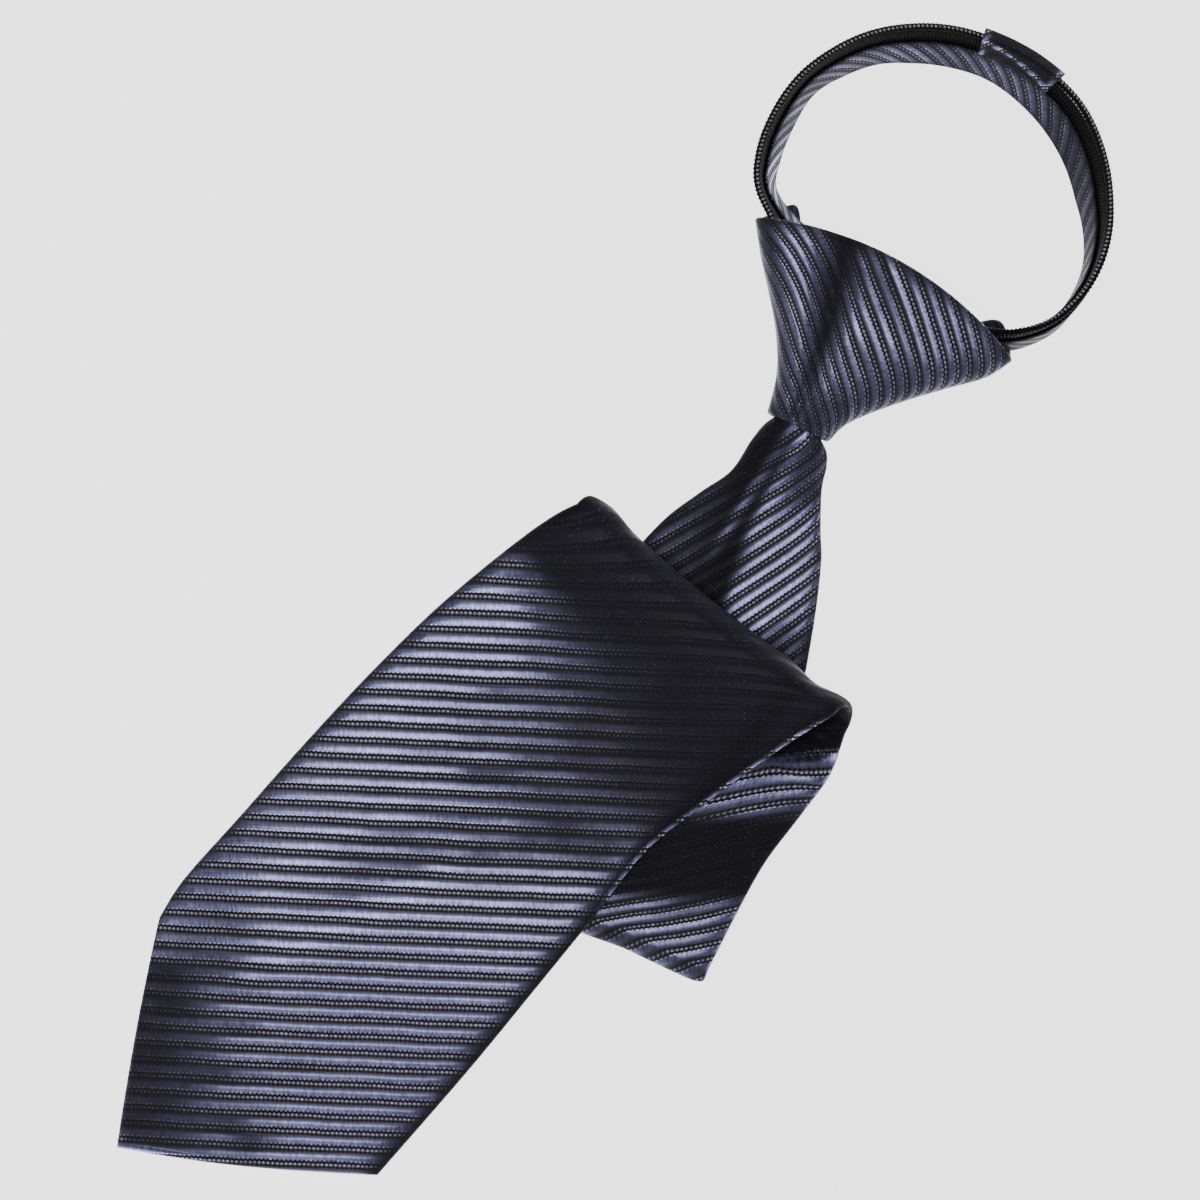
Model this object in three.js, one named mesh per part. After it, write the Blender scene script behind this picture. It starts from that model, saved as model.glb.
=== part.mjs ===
// A pre-tied necktie of ribbed satin, folded in three and laid down with its front up.
// Millimetres, +Z up. What it lies on is z = 0, +X runs to the right and +Y away from the point,
// and the origin lies under the middle of the whole tie.

import * as THREE from "three";
import { mergeVertices } from "three/addons/utils/BufferGeometryUtils.js";

// Driving dimensions
const clothGap = 0.3; // between pieces that touch on the real tie
const bladeThick = 3.0; // padded cloth of the blade
const layerStep = 3.5; // from one folded layer to the next
const bottomFoldReach = 2.6; // how far the lower fold rolls out past its crease line
const topFoldReach = 4.6; // the same for the upper fold, which is softer
const topFoldLift = 7.0; // the upper fold stands this much over its two layers
const topFoldFade = { left: 26, right: 42 }; // and has settled this far from its crease
const topFoldBow = 2.2; // the upper crease bends inwards by this in its middle
const creaseEase = 0.35; // share of the top layer's length over which that bend fades
const drapeRun = 90; // over which the top layer comes down beside the layers below it
const edgeThinning = 0.45; // thickness at the blade's edges, as a share of that in its middle
const neckRoundFade = [0.35, 0.65]; // the neck's rolled section turns flat between these shares
const pointBowLeft = 0.7; // outward bow of the pointed end's two sides
const pointBowRight = 1.7;
const knotWall = 2.0;
const mouthBulge = 7.0; // the knot's front rises over the line between its upper corners
const backMouthBulge = 2.0; // and its back by less
const valleyDeep = 2.4; // the soft valley between the knot's two lobes
const valleyWide = 0.085; // as a share of the knot's width
const valleyStart = [-0.06, 0.14]; // it deepens between these shares of the way down
const mouthFullness = 0.36; // power of the front's swell, fuller as it is smaller
const endFullness = 0.6;
const backFullness = 0.3;
const frontRound = 0.75; // powers of the section's sideways run, squarer as they are smaller
const backRound = 0.5;
const loopCentre = new THREE.Vector2(74.3, 94.1);
const bandWidth = 13.2; // neck band with its zipper edge, measured up the band
const bandThick = 2.6; // folded cloth of the neck band
const tapeThick = 0.8;
const tapeTuck = 2.4; // the tape's lower edge is held this deep in the band
const clothShare = 0.6; // share of the band's width that is cloth
const teethTall = 1.9;
const teethThick = 2.0;
const sleeveWall = 0.9;
const sleeveChamfer = 0.8; // along the sleeve's two upper edges
const bandChamfer = 0.5; // along the neck band's lower edges
const lipChamfer = 0.3; // along its upper ones
const sliderSize = [8, 11, 4];
const sliderPlace = [60, 66, 4.4];
const sliderTurn = -30; // degrees
const sweepStep = 5; // degrees of the loop from one section to the next

// The blade, from inside the knot to the upper fold and on to the pointed end.
// left and right are the two edges seen from above, z is the height of the cloth's middle.
const neckRows = [
  { left: [46.4, 56.3], right: [54.1, 51.9], z: 5.6, thick: 5.4 },
  { left: [42.4, 50.6], right: [51.1, 45.6], z: 5.5, thick: 5.6 },
  { left: [39.4, 44.6], right: [47.6, 39.9], z: 5.4, thick: 5.8 },
  { left: [35.0, 41.4], right: [49.4, 34.8], z: 4.9, thick: 6.2 },
  { left: [31.6, 37.2], right: [49.5, 31.2], z: 3.7, thick: 5.8 },
  { left: [27.0, 30.3], right: [48.4, 25.6], z: 2.4, thick: 4.4 },
  { left: [19.5, 25.1], right: [48.2, 16.4], z: 1.6, thick: 3.2 },
  { left: [10.2, 17.8], right: [48.3, 8.2], z: 1.5, thick: 3.0 },
  { left: [-2.5, 3.0], right: [46.4, -7.0], z: 1.5, thick: 3.0 },
  { left: [-14.0, -16.0], right: [42.6, -26.0], z: 1.5, thick: 3.0 },
  { left: [-25.5, -38.0], right: [35.0, -50.0], z: 1.5, thick: 3.0 },
  { left: [-38.0, -65.5], right: [21.7, -86.6], z: 1.5, thick: 3.0 },
];
const middleRows = [
  { left: [-38.0, -65.5], right: [21.7, -86.6] },
  { left: [-29.5, -43.0], right: [33.5, -64.0] },
  { left: [-20.0, -19.5], right: [43.5, -49.5] },
  { left: [-8.5, 18.5], right: [53.6, -30.0] },
];
const topRows = [
  { left: [-9.6, 21.2], right: [50.6, -26.8] },
  { left: [-20.5, 15.5], right: [38.5, -34.6] },
  { left: [-39.6, 0.2], right: [19.7, -48.6] },
  { left: [-55.8, -16.6], right: [7.3, -58.6] },
  { left: [-71.9, -34.4], right: [-4.3, -73.1] },
  { left: [-87.3, -51.2], right: [-18.0, -90.0] },
  { left: [-101.2, -65.4], right: [-35.0, -110.8] },
  { left: [-106.9, -74.3], right: [-55.8, -134.8] },
];
const pointStart = 4; // the top row from which the pointed end is drawn out
const pointEnd = [-116.6, -127.8];

// The knot, from its mouth at the loop down to its lower end. height is its thickness off the
// ground, and valley is where the valley lies, as a share of the width from the left.
const knotRows = [
  { left: [32.6, 88.5], right: [92.0, 55.4], height: 19.4, valley: 0.27 },
  { left: [34.0, 80.0], right: [86.2, 51.8], height: 19.4, valley: 0.28 },
  { left: [36.0, 71.0], right: [77.5, 49.4], height: 19.4, valley: 0.29 },
  { left: [37.5, 62.5], right: [68.0, 46.6], height: 18.0, valley: 0.3 },
  { left: [37.8, 54.5], right: [58.5, 43.2], height: 16.0, valley: 0.33 },
  { left: [36.8, 48.6], right: [53.4, 40.6], height: 14.2, valley: 0.36 },
  { left: [35.6, 44.4], right: [50.2, 37.4], height: 13.0, valley: 0.38 },
];

// The neck loop, by bearing round its centre. teeth and cloth are the radii of the band's
// upper and lower edge, and lift is the height of its lower edge.
const loopRows = [
  { bearing: 206, teeth: 37.6, cloth: 30.0, lift: 2.7 },
  { bearing: 197, teeth: 37.0, cloth: 30.0, lift: 2.7 },
  { bearing: 188, teeth: 38.6, cloth: 33.0, lift: 2.0 },
  { bearing: 176, teeth: 41.6, cloth: 37.6, lift: 0.4 },
  { bearing: 166, teeth: 42.4, cloth: 37.7, lift: 0.1 },
  { bearing: 153, teeth: 42.4, cloth: 37.6, lift: 0 },
  { bearing: 138, teeth: 42.2, cloth: 38.0, lift: 0 },
  { bearing: 125, teeth: 41.6, cloth: 36.4, lift: 0 },
  { bearing: 112, teeth: 41.1, cloth: 35.0, lift: 0 },
  { bearing: 98, teeth: 40.4, cloth: 33.0, lift: 0 },
  { bearing: 82, teeth: 39.8, cloth: 31.9, lift: 0 },
  { bearing: 66, teeth: 40.2, cloth: 31.6, lift: 0 },
  { bearing: 48, teeth: 41.0, cloth: 31.1, lift: 0 },
  { bearing: 32, teeth: 41.1, cloth: 31.4, lift: 0 },
  { bearing: 16, teeth: 41.2, cloth: 32.6, lift: 0 },
  { bearing: 0, teeth: 41.4, cloth: 34.4, lift: 0 },
  { bearing: -12, teeth: 41.8, cloth: 37.2, lift: 0 },
  { bearing: -24, teeth: 41.8, cloth: 39.8, lift: 0.1 },
  { bearing: -36, teeth: 41.2, cloth: 41.0, lift: 0.4 },
  { bearing: -48, teeth: 39.6, cloth: 41.2, lift: 0.8 },
  { bearing: -60, teeth: 36.6, cloth: 39.6, lift: 2.3 },
  { bearing: -69, teeth: 33.4, cloth: 37.6, lift: 2.7 },
  { bearing: -78, teeth: 29.6, cloth: 35.4, lift: 2.7 },
];
const tapeJoinBearing = 58; // the two zipper tapes end here, inside the sleeve
const sleeveBearings = [73, 43];

const looks = {
  satin: { color: 0x3c3a4e, roughness: 0.42, metalness: 0.0 },
  tape: { color: 0x17171a, roughness: 0.85, metalness: 0.0 },
  coil: { color: 0x232326, roughness: 0.35, metalness: 0.0 },
  metal: { color: 0x2b2b2e, roughness: 0.4, metalness: 0.8 },
};

// A value of one named column at a place between rows, on a smooth curve through them.
function smoothColumn(rows, key, at) {
  const last = rows.length - 1;
  const i = Math.min(Math.max(Math.floor(at), 0), last - 1);
  const t = at - i;
  const [a, b, c, d] = [i - 1, i, i + 1, i + 2].map(
    (k) => rows[Math.min(Math.max(k, 0), last)][key],
  );
  const one = (p, q, r, s) =>
    0.5 * (2 * q + (r - p) * t + (2 * p - 5 * q + 4 * r - s) * t * t + (3 * q - p - 3 * r + s) * t ** 3);
  return Array.isArray(b) ? b.map((_, n) => one(a[n], b[n], c[n], d[n])) : one(a, b, c, d);
}

function smoothStep(low, high, x) {
  const t = Math.min(Math.max((x - low) / (high - low), 0), 1);
  return t * t * (3 - 2 * t);
}

const mix = (a, b, t) => a + (b - a) * t;

// Closed rings of points, one after the other, become a solid with flat ends.
function solidOfRings(rings) {
  const count = rings[0].length;
  const places = [];
  rings.forEach((ring) => ring.forEach((p) => places.push(p.x, p.y, p.z)));
  const faces = [];
  for (let i = 0; i + 1 < rings.length; i++) {
    for (let j = 0; j < count; j++) {
      const [a, b] = [i * count + j, i * count + ((j + 1) % count)];
      faces.push(a, b, b + count, a, b + count, a + count);
    }
  }
  const endCap = (start, turned) => {
    // a ring runs out along one side and back along the other, so the cap is a row of quads
    for (let j = 0; j < count / 2 - 1; j++) {
      const quad = [start + j, start + j + 1, start + count - 2 - j, start + count - 1 - j];
      const [a, b, c, d] = turned ? quad.reverse() : quad;
      faces.push(a, b, c, a, c, d);
    }
  };
  endCap(0, true);
  endCap((rings.length - 1) * count, false);
  return facing(places, faces);
}

// Outer and inner rings become a wall that is open at both ends.
function wallOfRings(outer, inner) {
  const count = outer[0].length;
  const places = [];
  [...outer, ...inner].forEach((ring) => ring.forEach((p) => places.push(p.x, p.y, p.z)));
  const shift = outer.length * count;
  const faces = [];
  const quad = (a, b, c, d) => faces.push(a, b, c, a, c, d);
  for (let j = 0; j < count; j++) {
    const next = (j + 1) % count;
    for (let i = 0; i + 1 < outer.length; i++) {
      const [a, b] = [i * count + j, i * count + next];
      quad(a, b, b + count, a + count);
      quad(shift + a, shift + a + count, shift + b + count, shift + b);
    }
    const end = (outer.length - 1) * count;
    quad(j, shift + j, shift + next, next);
    quad(end + j, end + next, shift + end + next, shift + end + j);
  }
  return facing(places, faces);
}

// A geometry whose faces point out, whichever way the rings ran.
function facing(places, faces) {
  let volume = 0;
  const corner = (n) => new THREE.Vector3().fromArray(places, 3 * n);
  for (let i = 0; i < faces.length; i += 3) {
    const [a, b, c] = [corner(faces[i]), corner(faces[i + 1]), corner(faces[i + 2])];
    volume += a.dot(b.cross(c));
  }
  if (volume < 0) {
    for (let i = 0; i < faces.length; i += 3) {
      [faces[i + 1], faces[i + 2]] = [faces[i + 2], faces[i + 1]];
    }
  }
  const geometry = new THREE.BufferGeometry();
  geometry.setAttribute("position", new THREE.Float32BufferAttribute(places, 3));
  geometry.setIndex(faces);
  return mergeVertices(geometry, 1e-4);
}

function meshOf(name, geometry, look) {
  geometry.computeVertexNormals();
  const mesh = new THREE.Mesh(geometry, new THREE.MeshStandardMaterial(look));
  mesh.name = name;
  return mesh;
}

// How far a place lies outside the edge of the layers below the blade's top layer.
const stackLeft = { from: [-8.5, 18.5], to: [-38.0, -65.5] };
const stackFoot = { from: [-38.0, -65.5], to: [21.7, -86.6] };
function outsideOf({ from, to }, x, y) {
  const [dx, dy] = [to[0] - from[0], to[1] - from[1]];
  return ((x - from[0]) * dy - (y - from[1]) * dx) / Math.hypot(dx, dy);
}

// Height of the top layer's middle: carried by two layers, and down to the floor beside them.
function topLayerHeight(x, y, fromFold, share) {
  const outside = Math.max(outsideOf(stackLeft, x, y), outsideOf(stackFoot, x, y), 0);
  const carried = 1 - smoothStep(0, drapeRun, outside);
  const fade = mix(topFoldFade.left, topFoldFade.right, share);
  const roll = topFoldLift * (1 - smoothStep(0, fade, fromFold));
  return bladeThick / 2 + 2 * layerStep * carried + roll;
}

// The middle of the blade's cloth as a surface: along is 0 to 5 through the neck layer, the
// lower fold, the middle layer, the upper fold and the top layer, across is -1 left to 1 right.
function bladeMiddle(along, across) {
  const share = (across + 1) / 2;
  const place = (left, right) => [mix(left[0], right[0], share), mix(left[1], right[1], share)];
  const rowPlace = (rows, t) => {
    const at = t * (rows.length - 1);
    return place(smoothColumn(rows, "left", at), smoothColumn(rows, "right", at));
  };
  const outward = ({ left, right }) => {
    const [dx, dy] = [right[0] - left[0], right[1] - left[1]];
    return [dy / Math.hypot(dx, dy), -dx / Math.hypot(dx, dy)];
  };
  const neckEnd = neckRows.at(-1);
  const [foldUnder, foldTop] = [middleRows.at(-1), topRows[0]];
  if (along <= 1) {
    const [x, y] = rowPlace(neckRows, along);
    return new THREE.Vector3(x, y, smoothColumn(neckRows, "z", along * (neckRows.length - 1)));
  }
  if (along < 2) {
    const turn = (along - 1) * Math.PI;
    const [x, y] = place(neckEnd.left, neckEnd.right);
    const out = outward(neckEnd).map((c) => c * bottomFoldReach * Math.sin(turn));
    return new THREE.Vector3(x + out[0], y + out[1], neckEnd.z + (layerStep * (1 - Math.cos(turn))) / 2);
  }
  const middle = neckEnd.z + layerStep;
  if (along <= 3) {
    const t = along - 2;
    const [x, y] = rowPlace(middleRows, t);
    const bow = topFoldBow * (1 - across ** 2) * t ** 2;
    const back = outward(foldTop).map((c) => c * bow);
    return new THREE.Vector3(x + back[0], y + back[1], middle);
  }
  if (along < 4) {
    const turn = (along - 3) * Math.PI;
    const over = (1 - Math.cos(turn)) / 2;
    const [under, above] = [foldUnder, foldTop].map(({ left, right }) => place(left, right));
    const reach = topFoldBow * (1 - across ** 2) - topFoldReach * Math.sin(turn);
    const [x, y] = outward(foldTop).map((c, n) => mix(under[n], above[n], over) + c * reach);
    return new THREE.Vector3(x, y, mix(middle, topLayerHeight(...above, 0, share), over));
  }
  const t = along - 4;
  const at = t * (topRows.length - 1);
  let [x, y] = rowPlace(topRows, t);
  const end = topRows.at(-1);
  const pull = (Math.max(at - pointStart, 0) / (topRows.length - 1 - pointStart)) ** 2;
  const bow = (across < 0 ? pointBowLeft : pointBowRight) * 4 * Math.abs(across) * (1 - Math.abs(across));
  const cornerMiddle = [0, 1].map((n) => (end.left[n] + end.right[n]) / 2);
  const toPoint = [0, 1].map((n) => pointEnd[n] - cornerMiddle[n]);
  const length = Math.hypot(...toPoint);
  const reach = pull * ((1 - Math.abs(across)) * length + bow);
  x += (toPoint[0] / length) * reach;
  y += (toPoint[1] / length) * reach;
  const bowBack = topFoldBow * (1 - across ** 2) * (1 - smoothStep(0, creaseEase, t));
  const back = outward(foldTop).map((c) => c * bowBack);
  const fold = outward(foldTop);
  const fromFold = Math.max((x - foldTop.left[0]) * fold[0] + (y - foldTop.left[1]) * fold[1], 0);
  return new THREE.Vector3(x + back[0], y + back[1], topLayerHeight(x, y, fromFold, share));
}

function blade() {
  const stations = [
    [0, 1, 22],
    [1, 2, 6],
    [2, 3, 5],
    [3, 4, 8],
    [4, 5, 24],
  ].flatMap(([from, to, steps]) => Array.from({ length: steps }, (_, i) => mix(from, to, i / steps)));
  stations.push(5);
  const acrosses = [-1, -0.93, -0.72, -0.36, 0, 0.36, 0.72, 0.93, 1];
  const small = 1e-3;
  const rings = stations.map((along) => {
    const inNeck = along <= 1;
    const thick = inNeck
      ? smoothColumn(neckRows, "thick", along * (neckRows.length - 1))
      : bladeThick;
    const neckRound = inNeck ? 1 - smoothStep(...neckRoundFade, along) : 0;
    const sides = acrosses.map((across) => {
      const here = bladeMiddle(along, across);
      const step = along > 4.999 ? -small : small;
      const ahead = bladeMiddle(along + step, across).sub(here).multiplyScalar(Math.sign(step));
      const beside = bladeMiddle(along, across > 0 ? across - 0.05 : across + 0.05).sub(here);
      if (across > 0) beside.negate();
      const up = beside.cross(ahead).normalize().negate();
      const edge = mix(Math.abs(across) ** 10, across ** 2, neckRound);
      const half = (thick / 2) * mix(1, edgeThinning, edge);
      return [here.clone().addScaledVector(up, half), here.clone().addScaledVector(up, -half)];
    });
    return [...sides.map(([top]) => top), ...sides.map(([, under]) => under).reverse()];
  });
  return meshOf("blade", solidOfRings(rings), looks.satin);
}

// A point of the knot's outer skin. down is 0 at the mouth and 1 at the lower end, and turn
// runs round the section from the right side over the front and back below.
function knotPoint(down, turn, wall) {
  const at = down * (knotRows.length - 1);
  const left = smoothColumn(knotRows, "left", at);
  const right = smoothColumn(knotRows, "right", at);
  const height = smoothColumn(knotRows, "height", at);
  const valley = smoothColumn(knotRows, "valley", at);
  const [dx, dy] = [right[0] - left[0], right[1] - left[1]];
  const width = Math.hypot(dx, dy);
  const front = Math.sin(turn) >= 0;
  const squash = (value, power) => Math.sign(value) * Math.abs(value) ** power;
  const sideways = squash(Math.cos(turn), front ? frontRound : backRound) * (1 - (2 * wall) / width);
  const share = (sideways + 1) / 2;
  const half = height / 2;
  const fullness = front ? mix(mouthFullness, endFullness, down) : backFullness;
  let z = half + squash(Math.sin(turn), fullness) * (half - wall);
  if (front) {
    const dent = valleyDeep * Math.exp(-(((share - valley) / valleyWide) ** 2));
    z -= dent * Math.sin(turn) ** 2 * smoothStep(...valleyStart, down);
  }
  const bulge = (front ? mouthBulge : backMouthBulge) * (1 - sideways ** 2) * (1 - down) ** 2;
  const x = mix(left[0], right[0], share) - (dy / width) * bulge;
  const y = mix(left[1], right[1], share) + (dx / width) * bulge;
  return new THREE.Vector3(x, y, z);
}

function knot() {
  const steps = 12;
  const around = 34;
  const rings = (wall) =>
    Array.from({ length: steps + 1 }, (_, i) =>
      Array.from({ length: around }, (_, j) => knotPoint(i / steps, (2 * Math.PI * j) / around, wall)),
    );
  return meshOf("knot", wallOfRings(rings(0), rings(knotWall)), looks.satin);
}

// The band's section at a bearing: its lower and upper edge, the unit vector up the band and
// the unit vector out of its outer face.
function bandFrame(bearing) {
  const at = loopRows.findIndex((row) => row.bearing <= bearing);
  const i = Math.max(at < 0 ? loopRows.length - 1 : at, 1);
  const t = i - 1 + (loopRows[i - 1].bearing - bearing) / (loopRows[i - 1].bearing - loopRows[i].bearing);
  const teeth = smoothColumn(loopRows, "teeth", t);
  const cloth = smoothColumn(loopRows, "cloth", t);
  const lift = Math.max(smoothColumn(loopRows, "lift", t), 0);
  const rise = Math.sqrt(bandWidth ** 2 - (teeth - cloth) ** 2);
  const angle = THREE.MathUtils.degToRad(bearing);
  const away = new THREE.Vector3(Math.cos(angle), Math.sin(angle), 0);
  const up = away.clone().multiplyScalar((teeth - cloth) / bandWidth);
  up.z = rise / bandWidth;
  const out = away.clone().multiplyScalar(rise / bandWidth);
  out.z = -(teeth - cloth) / bandWidth;
  const foot = away.clone().multiplyScalar(cloth);
  // the lowest corner of the band's section stands at the height lift
  foot.add(new THREE.Vector3(loopCentre.x, loopCentre.y, lift + (Math.abs(out.z) * bandThick) / 2));
  return { foot, up, out };
}

// A closed section, as pairs of height up the band and offset outwards, swept round the loop.
function bandSweep(section, from, to) {
  const count = Math.max(Math.round(Math.abs(from - to) / sweepStep), 1);
  return Array.from({ length: count + 1 }, (_, i) => {
    const { foot, up, out } = bandFrame(mix(from, to, i / count));
    return section.map(([high, offset]) =>
      foot.clone().addScaledVector(up, high).addScaledVector(out, offset),
    );
  });
}

// A sweep whose section isn't convex, so each end is triangulated from its outline.
function sweptSolid(section, from, to) {
  const rings = bandSweep(section, from, to);
  const count = section.length;
  const places = rings.flatMap((ring) => ring.flatMap((p) => p.toArray()));
  const faces = [];
  for (let i = 0; i + 1 < rings.length; i++) {
    for (let j = 0; j < count; j++) {
      const [a, b] = [i * count + j, i * count + ((j + 1) % count)];
      faces.push(a, b, b + count, a, b + count, a + count);
    }
  }
  const outline = section.map(([high, offset]) => new THREE.Vector2(high, offset));
  const turned = THREE.ShapeUtils.isClockWise(outline);
  const last = (rings.length - 1) * count;
  for (const [a, b, c] of THREE.ShapeUtils.triangulateShape(outline, [])) {
    faces.push(...(turned ? [a, b, c] : [a, c, b]));
    faces.push(...(turned ? [last + a, last + c, last + b] : [last + a, last + b, last + c]));
  }
  return facing(places, faces);
}

const bandEnds = [loopRows[0].bearing, loopRows.at(-1).bearing];
const clothTop = bandWidth * clothShare;
const tapeFoot = clothTop - tapeTuck;
const tapeTop = bandWidth - teethTall - clothGap;

function neckBand() {
  const half = bandThick / 2;
  const slot = tapeThick / 2 + clothGap;
  const section = [
    [bandChamfer, half],
    [clothTop - lipChamfer, half],
    [clothTop, half - lipChamfer],
    [clothTop, slot],
    [tapeFoot - clothGap, slot],
    [tapeFoot - clothGap, -slot],
    [clothTop, -slot],
    [clothTop, lipChamfer - half],
    [clothTop - lipChamfer, -half],
    [bandChamfer, -half],
    [0, bandChamfer - half],
    [0, half - bandChamfer],
  ];
  return meshOf("neck_band", sweptSolid(section, ...bandEnds), looks.satin);
}

function zipperTape(name, from, to) {
  const half = tapeThick / 2;
  const section = [
    [tapeFoot, half],
    [tapeTop, half],
    [tapeTop, -half],
    [tapeFoot, -half],
  ];
  return meshOf(name, sweptSolid(section, from, to), looks.tape);
}

function zipperTeeth(name, from, to) {
  const half = teethThick / 2;
  const foot = bandWidth - teethTall;
  const section = [
    [foot, half * 0.5],
    [foot + teethTall * 0.3, half],
    [foot + teethTall * 0.7, half],
    [bandWidth, half * 0.5],
    [bandWidth, -half * 0.5],
    [foot + teethTall * 0.7, -half],
    [foot + teethTall * 0.3, -half],
    [foot, -half * 0.5],
  ];
  return meshOf(name, sweptSolid(section, from, to), looks.coil);
}

// The sleeve wraps the teeth and tape, with its own fold over the upper edge.
function loopSleeve() {
  const inside = teethThick / 2 + clothGap;
  const outside = inside + sleeveWall;
  const foot = clothTop + clothGap;
  const corners = (reach, low, high) => [
    [low, reach],
    [high - sleeveChamfer, reach],
    [high, reach - sleeveChamfer],
    [high, sleeveChamfer - reach],
    [high - sleeveChamfer, -reach],
    [low, -reach],
  ];
  const rings = (reach, low, high) => bandSweep(corners(reach, low, high), ...sleeveBearings);
  const outer = rings(outside, foot, bandWidth + clothGap + sleeveWall);
  const inner = rings(inside, foot, bandWidth + clothGap);
  return meshOf("loop_sleeve", channelOfRings(outer, inner), looks.satin);
}

// Outer and inner rings that are open below become a channel with closed ends.
function channelOfRings(outer, inner) {
  const rings = outer.map((ring, i) => [...ring, ...inner[i].slice().reverse()]);
  return solidOfRings(rings);
}

// Hidden in the knot: a plain block with the two teeth chains coming to it.
function zipperSlider() {
  const geometry = new THREE.BoxGeometry(...sliderSize);
  const mesh = meshOf("zipper_slider", geometry, looks.metal);
  mesh.position.set(...sliderPlace);
  mesh.rotation.z = THREE.MathUtils.degToRad(sliderTurn);
  return mesh;
}

const tie = new THREE.Group();
tie.add(
  blade(),
  knot(),
  neckBand(),
  zipperTape("zipper_tape_left", bandEnds[0], tapeJoinBearing + 0.4),
  zipperTape("zipper_tape_right", tapeJoinBearing - 0.4, bandEnds[1]),
  zipperTeeth("zipper_teeth_left", bandEnds[0], tapeJoinBearing + 0.4),
  zipperTeeth("zipper_teeth_right", tapeJoinBearing - 0.4, bandEnds[1]),
  loopSleeve(),
  zipperSlider(),
);

export default tie;
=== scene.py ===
import math

import bpy
import numpy as np
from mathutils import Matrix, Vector


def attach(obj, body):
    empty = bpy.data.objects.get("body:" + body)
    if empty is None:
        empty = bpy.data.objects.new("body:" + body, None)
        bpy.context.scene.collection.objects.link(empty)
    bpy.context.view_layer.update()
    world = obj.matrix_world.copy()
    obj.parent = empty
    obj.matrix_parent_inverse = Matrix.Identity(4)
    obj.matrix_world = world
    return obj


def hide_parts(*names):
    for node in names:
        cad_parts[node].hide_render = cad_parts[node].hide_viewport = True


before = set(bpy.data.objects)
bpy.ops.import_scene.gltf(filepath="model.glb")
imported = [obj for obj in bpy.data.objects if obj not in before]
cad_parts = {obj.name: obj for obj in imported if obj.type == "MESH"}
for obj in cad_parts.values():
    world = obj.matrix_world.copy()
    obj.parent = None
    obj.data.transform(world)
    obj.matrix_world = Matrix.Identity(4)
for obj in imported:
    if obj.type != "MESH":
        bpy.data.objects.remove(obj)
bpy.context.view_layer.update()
mm = 0.001
print("frame loaded")


# a smooth curve through a table's values, read between its rows
def curve(table, at):
    table, at = np.array(table, float), np.asarray(at, float)
    last = len(table) - 1
    low = np.clip(np.floor(at).astype(int), 0, last - 1)
    t = at - low
    if table.ndim == 2:
        t = t[..., None]
    a, b, c, d = (table[np.clip(low + k, 0, last)] for k in (-1, 0, 1, 2))
    return 0.5 * (2 * b + (c - a) * t + (2 * a - 5 * b + 4 * c - d) * t**2 + (3 * b - a - 3 * c + d) * t**3)


def column(rows, key, at):
    return curve([row[key] for row in rows], at)


# a soft step from 0 at low to 1 at high, and falling where low is the greater
def smooth(low, high, x):
    t = np.clip((x - low) / (high - low), 0, 1)
    return t * t * (3 - 2 * t)


def mix(a, b, t):
    return a + (b - a) * t


def unit(v):
    return v / np.maximum(np.linalg.norm(v, axis=-1, keepdims=True), 1e-12)


def gaussian(x, width):
    return np.exp(-((x / width) ** 2))


# a mesh from a grid of points in mm, with the weave's own coordinates on each face corner and its painted
# light and shade on each point
def gridPiece(name, points, weave, capEnds="no", weaveAcross=None, nap=None):
    rows, cols = points.shape[:2]
    i, j = np.meshgrid(np.arange(rows if capEnds == "ring" else rows - 1), np.arange(cols), indexing="ij")
    right, below = (j + 1) % cols, (i + 1) % rows
    quads = np.stack([i * cols + j, i * cols + right, below * cols + right, below * cols + j], -1)
    faces = quads.reshape(-1, 4).tolist()
    weaveNext = weave if weaveAcross is None else weaveAcross  # the weave at a face's far side
    corners = [weave[i, j], weaveNext[i, right], weaveNext[below, right], weave[below, j]]
    uv = np.stack(corners, 2).reshape(-1, 2)
    if capEnds == "flat":
        for row, order in ((0, list(range(cols))[::-1]), (rows - 1, list(range(cols)))):
            faces.append([row * cols + k for k in order])
            uv = np.vstack([uv, weave[row, order]])
    if capEnds == "strip":
        half = cols // 2
        for row, turned in ((0, True), (rows - 1, False)):
            for k in range(half - 1):
                quad = [k, k + 1, cols - 2 - k, cols - 1 - k]
                quad = quad[::-1] if turned else quad
                faces.append([row * cols + q for q in quad])
                uv = np.vstack([uv, weave[row, quad]])
    mesh = bpy.data.meshes.new(name)
    mesh.from_pydata((points.reshape(-1, 3) * mm).tolist(), [], faces)
    layer = mesh.uv_layers.new(name="weave")
    layer.data.foreach_set("uv", uv.astype(np.float32).ravel())
    paintedLightLayer = mesh.attributes.new("nap", "FLOAT", "POINT")  # painted light and shade on its surface, from 0 dark to 1 lit
    shade = np.ones(rows * cols) if nap is None else nap.ravel()
    paintedLightLayer.data.foreach_set("value", shade.astype(np.float32))
    mesh.update()
    piece = bpy.data.objects.new(name, mesh)
    bpy.context.scene.collection.objects.link(piece)
    outward(piece)
    mesh.polygons.foreach_set("use_smooth", [True] * len(mesh.polygons))
    return piece


# faces turned outwards, by the sign of the volume that they hold
def outward(piece):
    mesh = piece.data
    mesh.calc_loop_triangles()
    corners = np.zeros(len(mesh.vertices) * 3)
    mesh.vertices.foreach_get("co", corners)
    corners = corners.reshape(-1, 3)
    tris = np.zeros(len(mesh.loop_triangles) * 3, np.int32)
    mesh.loop_triangles.foreach_get("vertices", tris)
    a, b, c = (corners[tris.reshape(-1, 3)[:, k]] for k in range(3))
    if (a * np.cross(b, c)).sum() < 0:
        mesh.flip_normals()


# shader maths

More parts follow.
